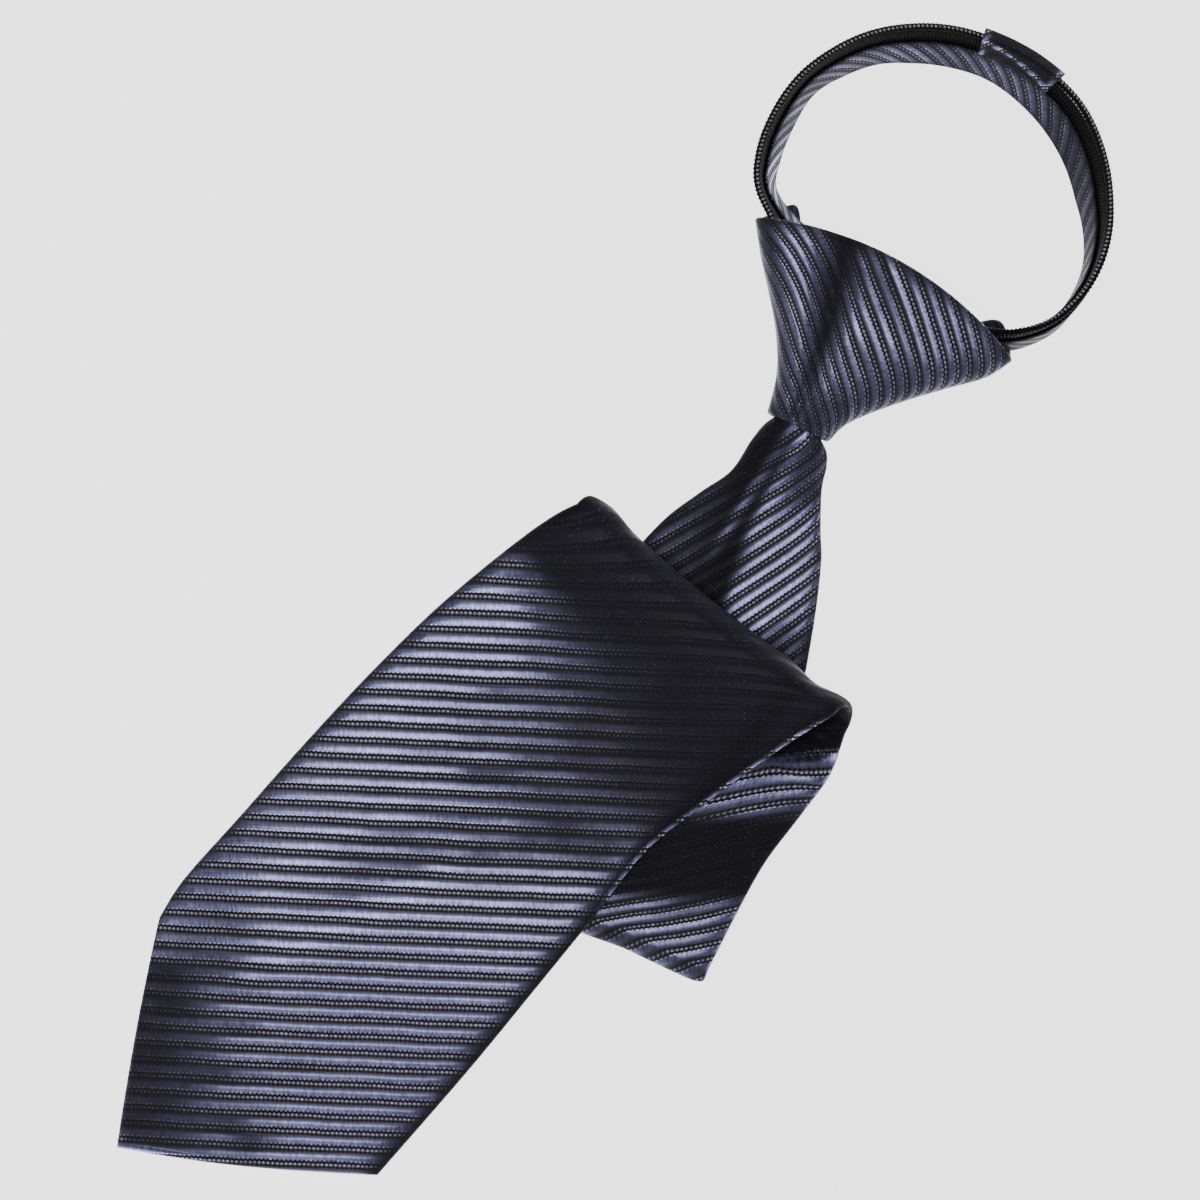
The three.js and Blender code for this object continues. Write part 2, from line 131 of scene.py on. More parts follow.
class Wire:
    def __init__(self, tree, socket):
        self.tree, self.socket = tree, socket

    def maths(self, operation, *values):
        return node(self.tree, "ShaderNodeMath", {"operation": operation}, values)

    def __add__(self, other):
        return self.maths("ADD", self, other)

    def __radd__(self, other):
        return self.maths("ADD", other, self)

    def __sub__(self, other):
        return self.maths("SUBTRACT", self, other)

    def __rsub__(self, other):
        return self.maths("SUBTRACT", other, self)

    def __mul__(self, other):
        return self.maths("MULTIPLY", self, other)

    def __rmul__(self, other):
        return self.maths("MULTIPLY", other, self)

    def __truediv__(self, other):
        return self.maths("DIVIDE", self, other)

    def sine(self):
        return self.maths("SINE", self)

    def fract(self):
        return self.maths("FRACT", self)

    def floor(self):
        return self.maths("FLOOR", self)

    def clamped(self):
        return node(self.tree, "ShaderNodeClamp", {}, {"Value": self})


def node(tree, kind, settings, values, output=0):
    made = tree.nodes.new(kind)
    for key, value in settings.items():
        if key == "stops":
            stops = made.color_ramp.elements
            while len(stops) < len(value):
                stops.new(0.5)
            for stop, (place, colour) in zip(stops, value):
                stop.position = place
                stop.color = (*colour, 1) if hasattr(colour, "__len__") else (colour, colour, colour, 1)
        elif key == "interpolation":
            made.color_ramp.interpolation = value
        else:
            setattr(made, key, value)
    pairs = values.items() if isinstance(values, dict) else enumerate(values)
    for key, value in pairs:
        if isinstance(value, Wire):
            tree.links.new(value.socket, made.inputs[key])
        elif value is not None:
            made.inputs[key].default_value = value
    return Wire(tree, made.outputs[output])


def ramp(tree, value, *stops):
    return node(tree, "ShaderNodeValToRGB", {"stops": stops}, (value,))


def blend(tree, share, first, second):
    sides = [side if isinstance(side, Wire) else (*side, 1) for side in (first, second)]
    return node(tree, "ShaderNodeMix", {"data_type": "RGBA"}, {0: share, 6: sides[0], 7: sides[1]}, 2)


def newMaterial(name):
    material = bpy.data.materials.new(name)
    material.use_nodes = True
    tree = material.node_tree
    return material, tree, tree.nodes["Principled BSDF"]


def feed(tree, shader, **values):
    for key, value in values.items():
        socket = shader.inputs[key.replace("_", " ")]
        if isinstance(value, Wire):
            tree.links.new(value.socket, socket)
        else:
            socket.default_value = value


satin = {
    "ribPitch": 3.83,  # mm from rib to rib
    "pickPitch": 1.05,
    "float": (0.36, 0.365, 0.65),
    "floatDeep": (0.150, 0.152, 0.29),
    # the ground's lit colour, and below it its painted shade: lit and shaded copies of one colour
    "lit": (0.115, 0.108, 0.145),
    "paintedShade": (0.014, 0.0135, 0.019),
    "gap": (0.003, 0.003, 0.005),
    # the picks' colour, partly the weave's pattern and partly painted highlight
    "pick": (0.77, 0.78, 0.97),
    "relief": 0.00011,
}


# Each rib, from its upper side down: a raised band of satin floats that ends in small bright picks,
# a black zigzag gap, a row of single picks and a fine dark line. The picks' brightness is partly
# painted highlight. Where the painted light is low, painted shade darkens the cloth and its pattern
# sinks into the plain dark ground, and where it is high, painted sheen brightens the floats.
def satinMaterial():
    material, tree, shader = newMaterial("ribbed_satin")
    weave = node(tree, "ShaderNodeUVMap", {"uv_map": "weave"}, ())
    across = node(tree, "ShaderNodeSeparateXYZ", {}, (weave,), 0)
    along = node(tree, "ShaderNodeSeparateXYZ", {}, (weave,), 1)
    wander = node(tree, "ShaderNodeTexNoise", {}, {"Vector": weave, "Scale": 0.09, "Detail": 2.0})
    place = (across + (wander - 0.5) * 0.5) / satin["ribPitch"]
    ribs = place.fract()
    stretched = node(tree, "ShaderNodeVectorMath", {"operation": "MULTIPLY"}, (weave, (0.4, 1.7, 1.0)))
    threads = node(tree, "ShaderNodeTexNoise", {}, {"Vector": stretched, "Scale": 1.0, "Detail": 3.0})
    blotch = node(tree, "ShaderNodeTexNoise", {}, {"Vector": weave, "Scale": 0.9, "Detail": 2.0})
    own = node(tree, "ShaderNodeCombineXYZ", {}, (place.floor() * 7.31, along * 0.055, 0.0))
    streak = node(tree, "ShaderNodeTexNoise", {}, {"Vector": own, "Scale": 1.0, "Detail": 1.0})
    nap = node(tree, "ShaderNodeAttribute", {"attribute_name": "nap"}, (), 2)
    # painted highlight streaks along each rib; where the painted light is low the pattern fades
    nap = (nap + nap * nap * (1 - nap) * (streak - 0.5) * 10).clamped()
    seen = ((nap - 0.1) * 1.8).clamped()
    sheen = nap * nap * (3 - nap * 2)
    turn = 2 * math.pi / satin["pickPitch"]
    beat = (along * turn + (threads - 0.5) * 2.6).sine()
    floats = ramp(tree, ribs, (0.0, 0.3), (0.06, 0.62), (0.14, 1.0), (0.44, 1.0), (0.49, 0.0),
                  (0.90, 0.0), (1.0, 0.3))
    edgeRow = ramp(tree, ribs, (0.37, 0.0), (0.41, 1.0), (0.45, 1.0), (0.49, 0.0))
    pickRow = ramp(tree, ribs, (0.60, 0.0), (0.64, 1.0), (0.70, 1.0), (0.75, 0.0))
    zigzag = ramp(tree, ribs + beat * 0.04, (0.46, 0.0), (0.49, 1.0), (0.56, 1.0), (0.60, 0.0))
    fine = ramp(tree, ribs, (0.75, 0.0), (0.79, 1.0), (0.85, 1.0), (0.92, 0.0))
    picks = (pickRow * (beat * 0.75 + blotch * 2.4 - 0.95)).clamped() * (seen * (nap * 0.5 + 0.45) + 0.02)
    edge = (edgeRow * (blotch * 2.6 - beat * 0.7 - 1.1)).clamped() * (seen * 0.8 + 0.02)
    cells = node(tree, "ShaderNodeTexVoronoi", {}, {"Vector": weave, "Scale": 1.15})
    # faint painted glints of the pick colour where painted shade hides the pattern
    specks = ramp(tree, cells, (0.1, 1.0), (0.22, 0.0)) * (threads * 3 - 1.2).clamped() * (1 - seen)
    bright = (picks + edge + specks * 0.12).clamped()
    # painted shade and painted light on the ground, with a random tone
    ground = blend(tree, nap * (blotch * 0.7 + 0.65), satin["paintedShade"], satin["lit"])
    band = blend(tree, (threads * 2.8 - 0.95).clamped(), satin["floatDeep"], satin["float"])
    # the floats' bright band shows only as far as the painted sheen lets it
    cloth = blend(tree, floats * sheen, ground, band)
    cloth = blend(tree, zigzag * (seen * 0.9 + 0.1), cloth, satin["gap"])
    cloth = blend(tree, fine * (0.7 - beat * 0.3) * (seen * 0.9 + 0.1), cloth, satin["gap"])
    cloth = blend(tree, bright, cloth, satin["pick"])
    swell = ramp(tree, ribs, (0.0, 0.45), (0.08, 0.72), (0.20, 1.0), (0.38, 0.88), (0.47, 0.35),
                 (0.54, 0.0), (0.62, 0.4), (0.68, 0.6), (0.76, 0.35), (0.83, 0.12), (0.92, 0.3),
                 (1.0, 0.45))
    swell = (swell + threads * 0.25 + bright * 0.25 + blotch * 0.1) * (seen * 0.85 + 0.15)
    bump = node(tree, "ShaderNodeBump", {}, {"Strength": 1.0, "Distance": satin["relief"], "Height": swell})
    shine = (floats * sheen - zigzag + bright).clamped()
    rough = 0.6 - floats * 0.24 + bright * 0.2
    feed(tree, shader, Base_Color=cloth, Metallic=shine, Roughness=rough)
    feed(tree, shader, Normal=bump, Specular_IOR_Level=0.04)
    return material


tapeCloth = {"rib": 0.8, "dark": (0.004, 0.004, 0.0045), "light": (0.022, 0.022, 0.024), "relief": 0.00025}


# a black tape with close ribs across it
def tapeMaterial():
    material, tree, shader = newMaterial("woven_tape")
    weave = node(tree, "ShaderNodeUVMap", {"uv_map": "weave"}, ())
    along = node(tree, "ShaderNodeSeparateXYZ", {}, (weave,), 1)
    fibres = node(tree, "ShaderNodeTexNoise", {}, {"Vector": weave, "Scale": 3.0, "Detail": 2.0})
    ridges = (along * (2 * math.pi / tapeCloth["rib"])).sine() * 0.5 + 0.5
    colour = blend(tree, (ridges * fibres * 1.6).clamped(), tapeCloth["dark"], tapeCloth["light"])
    heights = {"Strength": 1.0, "Distance": tapeCloth["relief"], "Height": ridges + fibres * 0.4}
    bump = node(tree, "ShaderNodeBump", {}, heights)
    feed(tree, shader, Base_Color=colour, Roughness=0.75, Normal=bump, Specular_IOR_Level=0.2)
    return material


def coilMaterial():
    material, tree, shader = newMaterial("nylon_coil")
    place = node(tree, "ShaderNodeTexCoord", {}, (), 3)
    grain = node(tree, "ShaderNodeTexNoise", {}, {"Vector": place, "Scale": 900.0, "Detail": 2.0})
    weave = node(tree, "ShaderNodeUVMap", {"uv_map": "weave"}, ())
    turn = node(tree, "ShaderNodeSeparateXYZ", {}, (weave,), 0).fract()
    glint = ramp(tree, turn, (0.86, 0.0), (0.90, 1.0), (0.96, 1.0), (0.99, 0.0))
    glint = glint * node(tree, "ShaderNodeAttribute", {"attribute_name": "nap"}, (), 2)
    colour = blend(tree, (glint * (grain * 1.5 - 0.1)).clamped(), (0.006, 0.006, 0.007), (0.7, 0.7, 0.74))
    feed(tree, shader, Base_Color=colour, Roughness=0.5 + grain * 0.25, Specular_IOR_Level=0.1)
    return material


def sliderMaterial():
    material, tree, shader = newMaterial("black_lacquer")
    place = node(tree, "ShaderNodeTexCoord", {}, (), 3)
    grain = node(tree, "ShaderNodeTexNoise", {}, {"Vector": place, "Scale": 300.0, "Detail": 3.0})
    feed(tree, shader, Base_Color=(0.02, 0.02, 0.022, 1), Metallic=0.8, Roughness=0.3 + grain * 0.2)
    return material


satinCloth = satinMaterial()
tapeWoven = tapeMaterial()
coilNylon = coilMaterial()
lacquer = sliderMaterial()
print("materials made")


def finishPiece(piece, material, slot, *nodes):
    piece.data.materials.append(material)
    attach(piece, "root")
    if nodes:
        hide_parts(*nodes)
    return piece


# the blade, in mm as the frame has it: left and right are its edges seen from above
blade = {
    "thick": 3.0,
    "layerStep": 3.5,
    "lowerReach": 2.6,
    "lowerSlant": 2.2,  # the lower fold runs up by this much more to its left
    "upperReach": 4.6,
    "upperLift": 7.0,
    "upperFade": (26, 42),
    "upperBow": 2.2,
    "leftSwell": 1.4,
    "leftWay": (0.45, 0.89),
    "leftLobe": 0.8,
    "rightDip": 1.5,
    "rightSwell": 2.0,
    "drapeRun": 90,
    "bowLeft": 0.7,
    "bowRight": 1.7,
    "pointEnd": (-117.1, -128.5),
    "ribAngle": 59.0,  # the ribs' turn from the first row's line across the blade
    "backAngle": 55.0,
    "foldSkew": 12.0,  # the bias cloth gives in the upper fold, and its ribs fan out there
    "fanRows": (-34, 24),  # over these rows about the top layer's start
    "neckGather": 1.13,  # the neck is pulled narrow, so its ribs lie closer
    "neckCurl": 3.0,  # and run up steeper towards its right edge
    "gatherRows": (116, 98),
    "step": 1.1,
    "neckRun": 128,
    "middleRun": 88,
    "topRun": 160,
    "topLong": 150,
    "endFrom": 0.985,  # the last rows lie closer, for the rounded end
    "endSteps": (0.9895, 0.993, 0.9958, 0.998, 0.9993, 1.0),
    "lowerRows": 16,
    "upperRows": 34,
    "hemRound": 1.5,  # the pointed end is rounded over this length
    "neck": [
        {"left": (46.4, 56.3), "right": (54.1, 51.9), "z": 5.6, "thick": 5.4},
        {"left": (42.4, 50.6), "right": (51.1, 45.6), "z": 5.5, "thick": 5.6},
        {"left": (39.4, 44.6), "right": (47.6, 39.9), "z": 5.4, "thick": 5.8},
        {"left": (35.0, 41.4), "right": (49.4, 34.8), "z": 4.9, "thick": 6.2},
        {"left": (31.6, 37.2), "right": (49.5, 31.2), "z": 3.7, "thick": 5.8},
        {"left": (27.0, 30.3), "right": (48.4, 25.6), "z": 2.4, "thick": 4.4},
        {"left": (19.5, 25.1), "right": (48.2, 16.4), "z": 1.6, "thick": 3.2},
        {"left": (10.2, 17.8), "right": (48.3, 8.2), "z": 1.5, "thick": 3.0},
        {"left": (-2.5, 3.0), "right": (46.4, -7.0), "z": 1.5, "thick": 3.0},
        {"left": (-14.0, -16.0), "right": (42.6, -26.0), "z": 1.5, "thick": 3.0},
        {"left": (-25.5, -38.0), "right": (35.0, -50.0), "z": 1.5, "thick": 3.0},
        {"left": (-38.0, -65.5), "right": (21.7, -86.6), "z": 1.5, "thick": 3.0},
    ],
    "middle": [
        {"left": (-38.0, -65.5), "right": (21.7, -86.6)},
        {"left": (-29.5, -43.0), "right": (33.5, -64.0)},
        {"left": (-20.0, -19.5), "right": (43.5, -49.5)},
        {"left": (-8.5, 18.5), "right": (53.6, -30.0)},
    ],
    "top": [
        {"left": (-9.6, 21.2), "right": (50.6, -26.8)},
        {"left": (-20.5, 15.5), "right": (38.5, -34.6)},
        {"left": (-39.6, 0.2), "right": (19.7, -48.6)},
        {"left": (-56.4, -16.0), "right": (7.3, -58.6)},
        {"left": (-72.9, -33.6), "right": (-4.3, -73.1)},
        {"left": (-88.0, -50.6), "right": (-18.0, -90.0)},
        {"left": (-101.2, -65.4), "right": (-35.0, -110.8)},
        {"left": (-106.9, -74.3), "right": (-55.8, -134.8)},
    ],
    "pointFrom": 4,  # the row from which the point is drawn out
    # the soft forms' heights, and their places
    "swellHigh": 2.6,
    "troughHigh": 1.6,
    "troughAt": (-47, -59),
    "patchHigh": 1.0,
    "patchAt": (-16, -33),
    "dimpleSides": (3.0, 1.3),
    "middleFall": 2.4,
    "middleDip": 1.6,
    "pocketDeep": 2.2,
    # lines on the cloth that its relief and its sheen follow, from their upper end down
    "pointSide": ((-106.9, -74.3), (-116.6, -127.8)),
    "lowRight": ((-14.9, -86.7), (-51.8, -130.2)),
    "dimple": ((37.5, 41.1), (24.6, 0.0)),
    "neckShade": ((38.7, 41.1), (25.6, 0.0)),
    "neckRidge": ((42.6, 36.2), (33.4, 17.0)),
    "secondRidge": ((37.8, 35.0), (28.2, 19.5)),
    # at these heights up the top layer, its sheen rises between these two places across it
    "sheenRows": (-75, -63, -51, -40, -28, -16, -5, 7, 19, 30),
    "darkAt": (96, 84, 44, 27, 30, 24, 4, -12, -22, -30),
    "brightAt": (-40, -60, -90, -80, -70, -54, -33, -27, -34, -40),
    "shadowAt": (-55, -62),
    "shadowTurn": (0.96, 0.28),
}


# how far a place lies to the left of a line, as seen going down the line
def outsideOf(line, place):
    (x0, y0), (x1, y1) = line
    length = math.hypot(x1 - x0, y1 - y0)
    return ((place[..., 0] - x0) * (y1 - y0) - (place[..., 1] - y0) * (x1 - x0)) / length


# the line of the upper fold in the middle layer, and of the lower fold
def upperLine():
    head = blade["middle"][-1]
    return head["left"], head["right"]


def lowerLine():
    foot = blade["neck"][-1]
    return foot["left"], foot["right"]


# the top layer lies on two layers, and comes down to the floor beside them
def topHeight(place, fromFold, share):
    b = blade
    beside = outsideOf((upperLine()[0], lowerLine()[0]), place)
    below = outsideOf(lowerLine(), place)
    carried = 1 - smooth(0, b["drapeRun"], np.maximum(np.maximum(beside, below), 0))
    roll = b["upperLift"] * (1 - smooth(0, 1, fromFold / mix(*b["upperFade"], share)))
    return b["thick"] / 2 + 2 * b["layerStep"] * carried + roll


# soft rises and hollows of the top layer
def topRelief(place):
    b = blade
    x, y = place[..., 0], place[..., 1]
    fromSide = np.maximum(-outsideOf(b["pointSide"], place), 0)
    swell = b["swellHigh"] * smooth(0, 25, fromSide) * (1 - 0.75 * smooth(25, 85, fromSide))
    swell = swell * smooth(-40, -75, y)
    aside, up = x - b["troughAt"][0], y - b["troughAt"][1]
    trough = b["troughHigh"] * np.tanh(aside / 13) * gaussian(up - 0.3 * aside, 8) * gaussian(aside, 34)
    aside, up = x - b["patchAt"][0], y - b["patchAt"][1]
    patch = b["patchHigh"] * np.tanh(aside / 15) * gaussian(up, 17) * gaussian(aside, 34)
    return swell + trough + patch


# painted shade on the satin, as a factor from 1 down to 0
def paintedShade(x, low, high, depth):
    return 1 - depth * (1 - smooth(low, high, x))


# painted sheen on the top layer's left and painted shade on its right, a painted shadow across one hollow,
# and painted shade near the point's side and along a line on the lower right
def topPaintedLight(place):
    b = blade
    x, y = place[..., 0], place[..., 1]
    darkAt, brightAt = (np.interp(y, b["sheenRows"], b[key]) for key in ("darkAt", "brightAt"))
    nap = 0.09 + 0.9 * smooth(darkAt, brightAt, x) ** 1.5
    c, s = b["shadowTurn"]
    aside, up = x - b["shadowAt"][0], y - b["shadowAt"][1]
    along, over = aside * c + up * s, up * c - aside * s
    nap = nap * (1 - 0.6 * gaussian(along, 17) * gaussian(over, 6))
    fromSide = -outsideOf(b["pointSide"], place)
    nap = nap * mix(1, paintedShade(fromSide, 4, mix(36, 54, smooth(-96, -112, y)), 0.85), smooth(-62, -90, y))
    return nap * paintedShade(np.abs(outsideOf(b["lowRight"], place)), 0, 6, 0.5)


# painted sheen on the right below, plain painted shade on the left, with two narrow ridges of painted sheen
# above
def neckPaintedLight(place):
    b = blade
    x, y = place[..., 0], place[..., 1]
    aside = -outsideOf(b["neckShade"], place)
    left = mix(0.02, 0.2, smooth(-3, -14, aside))
    low = mix(left, 0.85, smooth(-1.5, 4, aside)) * mix(0.35, 1, smooth(-11, -3, y))
    ridge, second = outsideOf(b["neckRidge"], place), outsideOf(b["secondRidge"], place)
    high = mix(left, 0.3, smooth(2, -4, ridge)) + 0.6 * gaussian(ridge, 1.9) + 0.35 * gaussian(second, 1.3)
    return mix(high, low, smooth(21, 14, y - 0.45 * (x - 36)))


# painted shade between two stretches of painted sheen, and in the open pocket below the upper fold
def middlePaintedLight(place):
    y = place[..., 1]
    nap = 0.75 * paintedShade(y, -53, -46, 0.95)
    nap = np.maximum(nap, 0.6 * smooth(-67, -75, y))
    return nap * (1 - inPocket(place))


# the neck's long dimple, that goes on from the knot's valley
def neckRelief(place):
    aside = -outsideOf(blade["dimple"], place)
    left, right = blade["dimpleSides"]
    rise = np.where(aside < 0, left * smooth(0, 15, -aside), right * smooth(0, 20, aside))
    fromFold = -outsideOf(upperLine(), place)
    return rise * smooth(4, 20, np.abs(fromFold)) * smooth(42, 28, place[..., 1]) * (fromFold < 0)


# the middle layer falls away to its right edge, and dips into the upper fold
def middleRelief(place):
    b = blade
    inFold = np.abs(outsideOf(upperLine(), place))
    right = outsideOf((upperLine()[1], lowerLine()[1]), place)
    fall = b["middleFall"] * smooth(0, 26, np.abs(right)) * smooth(12, 24, inFold) * smooth(60, 40, inFold)
    return fall - b["middleDip"] * gaussian(inFold - 5, 4.5) - b["pocketDeep"] * inPocket(place)


# the fold's two soft corners, that swell beyond its straight edges
def leftCorner(across, inward):
    return blade["leftSwell"] * np.clip(-across * 2.2 - 1.2, 0, 1) ** 1.5 * gaussian(inward - 1, 6.5)


def rightCorner(across, inward):
    return blade["rightSwell"] * np.clip(across * 2.2 - 1.2, 0, 1) ** 1.5 * gaussian(inward - 9, 10)


# the way in which the right corner swells, on from the upper fold's line
def rightWay():
    left, right = upperLine()
    return -np.array(unit(np.subtract(left, right)))


# how deep a place lies in the open pocket between the middle and the top layer, from 0 to 1
def inPocket(place):
    x, y = place[..., 0], place[..., 1]
    mouth = -38.6 + 0.17 * (x - 36)
    return smooth(mouth - 0.8, mouth + 1.4, y) * smooth(32, 37, x)


def outOf(row):
    d = np.subtract(row["right"], row["left"])
    return np.array([d[1], -d[0]]) / np.hypot(*d)


def between(rows, at, share):
    left, right = column(rows, "left", at), column(rows, "right", at)
    return mix(left[:, None, :], right[:, None, :], share[None, :, None])


def withHeight(place, z):
    return np.concatenate([place, np.broadcast_to(z, place.shape[:2])[..., None]], -1)


# the rows of each layer and of the two folds between them, across the blade from -1 to 1
def neckRows(across):
    rows = blade["neck"]
    at = np.linspace(0, len(rows) - 1, int(blade["neckRun"] / blade["step"]), endpoint=False)
    place = between(rows, at, (across + 1) / 2)
    return withHeight(place, column(rows, "z", at)[:, None] + neckRelief(place)), column(rows, "thick", at)


def lowerFold(across):
    b = blade
    foot = b["neck"][-1]
    turn = np.linspace(0, math.pi, b["lowerRows"], endpoint=False)
    line = between([foot, foot], np.zeros(1), (across + 1) / 2)
    place = line + outOf(foot) * (b["lowerReach"] * np.sin(turn))[:, None, None]
    return withHeight(place, (foot["z"] + b["layerStep"] * (1 - np.cos(turn)) / 2)[:, None])


def upperBow(across):
    return blade["upperBow"] * (1 - across**2)


def middleRows(across):
    b = blade
    rows, out = b["middle"], outOf(b["top"][0])
    t = np.linspace(0, 1, int(b["middleRun"] / b["step"]), endpoint=False)
    place = between(rows, t * (len(rows) - 1), (across + 1) / 2)
    place = place + out * (upperBow(across)[None, :] * t[:, None] ** 2)[..., None]
    inward = np.abs((place - rows[-1]["left"]) @ out)
    eased = place + rightWay() * rightCorner(across[None, :], inward)[..., None]
    return withHeight(eased, b["neck"][-1]["z"] + b["layerStep"] + middleRelief(place))


# the upper fold's rows, and how far each has come over from the middle to the top layer
def upperFold(across):
    b = blade
    share = (across + 1) / 2
    head, bow = b["top"][0], upperBow(across)
    turn = np.linspace(0, math.pi, b["upperRows"], endpoint=False)
    over = (1 - np.cos(turn)[:, None]) / 2
    under = between([b["middle"][-1]] * 2, np.zeros(1), share)
    above = between([head, head], np.zeros(1), share)
    lobe = b["leftLobe"] * gaussian(across + 0.84, 0.1) - b["rightDip"] * gaussian(across - 0.76, 0.14)
    reach = bow[None, :] - (b["upperReach"] + lobe[None, :]) * np.sin(turn)[:, None]
    place = mix(under, above, over[..., None]) + outOf(head) * reach[..., None]
    place = place + np.array(b["leftWay"]) * (leftCorner(across[None, :], reach) * over)[..., None]
    place = place + rightWay() * (rightCorner(across[None, :], reach) * (1 - over))[..., None]
    lowZ = b["neck"][-1]["z"] + b["layerStep"] + middleRelief(under + outOf(head) * bow[None, :, None])
    highZ = topHeight(above, 0, share) + topRelief(above)
    return withHeight(place, mix(lowZ, highZ, over)), over


# the top layer's rows at t down it, its sheen, and how far its point is drawn out which way
def topRows(across, t):
    b = blade
    share = (across + 1) / 2
    rows, head, end = b["top"], b["top"][0], b["top"][-1]
    at = t * (len(rows) - 1)
    place = between(rows, at, share)
    toPoint = np.array(b["pointEnd"]) - np.add(end["left"], end["right"]) / 2
    length = np.hypot(*toPoint)
    sideBow = np.where(across < 0, b["bowLeft"], b["bowRight"]) * 4 * np.abs(across) * (1 - np.abs(across))
    toEnd = np.maximum(at - b["pointFrom"], 0) / (at[-1] - b["pointFrom"])
    drawn = toEnd[:, None] ** 2 * ((1 - np.abs(across)) * length + sideBow)
    pulled = place + (toPoint / length) * drawn[..., None]
    out = outOf(head)
    fromFold = np.maximum((pulled - head["left"]) @ out, 0)
    bowBack = out * (upperBow(across)[None, :] * (1 - smooth(0, 0.35, t))[:, None])[..., None]
    corner = leftCorner(across[None, :], fromFold)[..., None] * np.array(b["leftWay"])
    top = withHeight(pulled + bowBack + corner, topHeight(pulled, fromFold, share) + topRelief(pulled))
    # painted shade darkens it towards its edges, and painted highlights lie on the folded edge on the right
    # and on the hem
    nap = topPaintedLight(pulled) * mix(0.1, 1, smooth(0.0, 0.11, 1 - np.abs(across)[None, :]))
    rim = smooth(0.03, 0.012, 1 - across)[None, :] * smooth(-74, -66, pulled[..., 1])
    nap = mix(nap, 0.9, rim * smooth(1, 7, fromFold))
    hem = smooth(0.988, 0.994, t)[:, None] * (smooth(-0.06, 0, across) * smooth(0.8, 0.3, across))[None, :]
    return top, mix(nap, 0.75, hem), drawn, toPoint / length


# the middle of the blade's cloth and its sheen, the same cloth with its point not yet drawn out,
# how far and which way that is, and the cloth's thickness
def bladeLayers(across):
    b = blade
    t = np.append(np.linspace(0, b["endFrom"], int(b["topRun"] / b["step"])), b["endSteps"])
    neck, neckThick = neckRows(across)
    lower, middle = lowerFold(across), middleRows(across)
    upper, over = upperFold(across)
    top, paintedLightTop, drawn, pullWay = topRows(across, t)
    points = np.concatenate([neck, lower, middle, upper, top])
    edge = 1 - np.abs(across)[None, :]
    # painted light of each part: the neck's painted shade grows towards its edges, and the lower fold has
    # one even level of painted light
    nap = np.concatenate([
        neckPaintedLight(neck) * mix(0.2, 1, smooth(0.0, 0.1, edge)),
        np.full(lower.shape[:2], 0.4), middlePaintedLight(middle),
        mix(middlePaintedLight(middle[-1:]), paintedLightTop[:1], smooth(0, 0.25, over)), paintedLightTop])
    pull = np.zeros(points.shape[:2])
    pull[-len(t):] = drawn
    before = points.copy()
    before[-len(t):, :, :2] -= pullWay * drawn[..., None]
    before[-len(t):, :, 2] = before[-len(t), :, 2]  # its gentle relief is left out of the layout
    fromLower = np.abs(np.arange(len(points)) - len(neck) - b["lowerRows"] / 2)
    slant = b["lowerSlant"] * np.clip((1 - across) / 0.65, 0, 1)[None, :] * smooth(30, 8, fromLower)[:, None]
    points[..., :2] -= slant[..., None] * outOf(b["neck"][-1])
    thick = np.full(len(points), b["thick"])
    thick[: len(neck)] = neckThick
    toTip = (1 - t) * b["topLong"] / b["hemRound"]
    thick[-len(t):] *= np.sqrt(np.maximum(1 - np.clip(1 - toTip, 0, 1) ** 2, 0.003))
    return points, before, pull, pullWay, thick, nap


# the cloth laid out flat again, so that its ribs run on through the folds
def layOut(points, before, pull, pullWay, centre, skew):
    rows = len(points)
    alongStep = np.gradient(before, axis=0)
    acrossStep = np.gradient(before, axis=1)
    a = unit(acrossStep[:, centre])
    n = unit(np.cross(a, unit(alongStep[:, centre])))
    forward = np.cross(n, a)
    steps = np.linalg.norm(np.diff(before, axis=1), axis=-1)
    u = np.concatenate([np.zeros((rows, 1)), np.cumsum(steps, axis=1)], axis=1)
    u -= u[:, centre][:, None]
    angle = np.zeros(rows)
    middle = np.zeros((rows, 2))
    for i in range(rows - 1):
        angle[i + 1] = angle[i] + skew[i] + math.atan2(a[i + 1] @ forward[i], a[i + 1] @ a[i])
        step = before[i + 1, centre] - before[i, centre]
        du, dv = step @ a[i], step @ forward[i]
        c, s = math.cos(angle[i]), math.sin(angle[i])
        length = np.linalg.norm(step) / max(math.hypot(du, dv), 1e-9)
        middle[i + 1] = middle[i] + length * np.array([du * c - dv * s, du * s + dv * c])
    way = np.stack([np.cos(angle), np.sin(angle)], -1)
    flat = middle[:, None, :] + u[..., None] * way[:, None, :]
    pull3 = np.array([*pullWay, 0.0])
    pu, pv = a @ pull3, forward @ pull3
    c, s = way[:, 0], way[:, 1]
    pulled = np.stack([pu * c - pv * s, pu * s + pv * c], -1)
    return flat + pull[..., None] * pulled[:, None, :], way


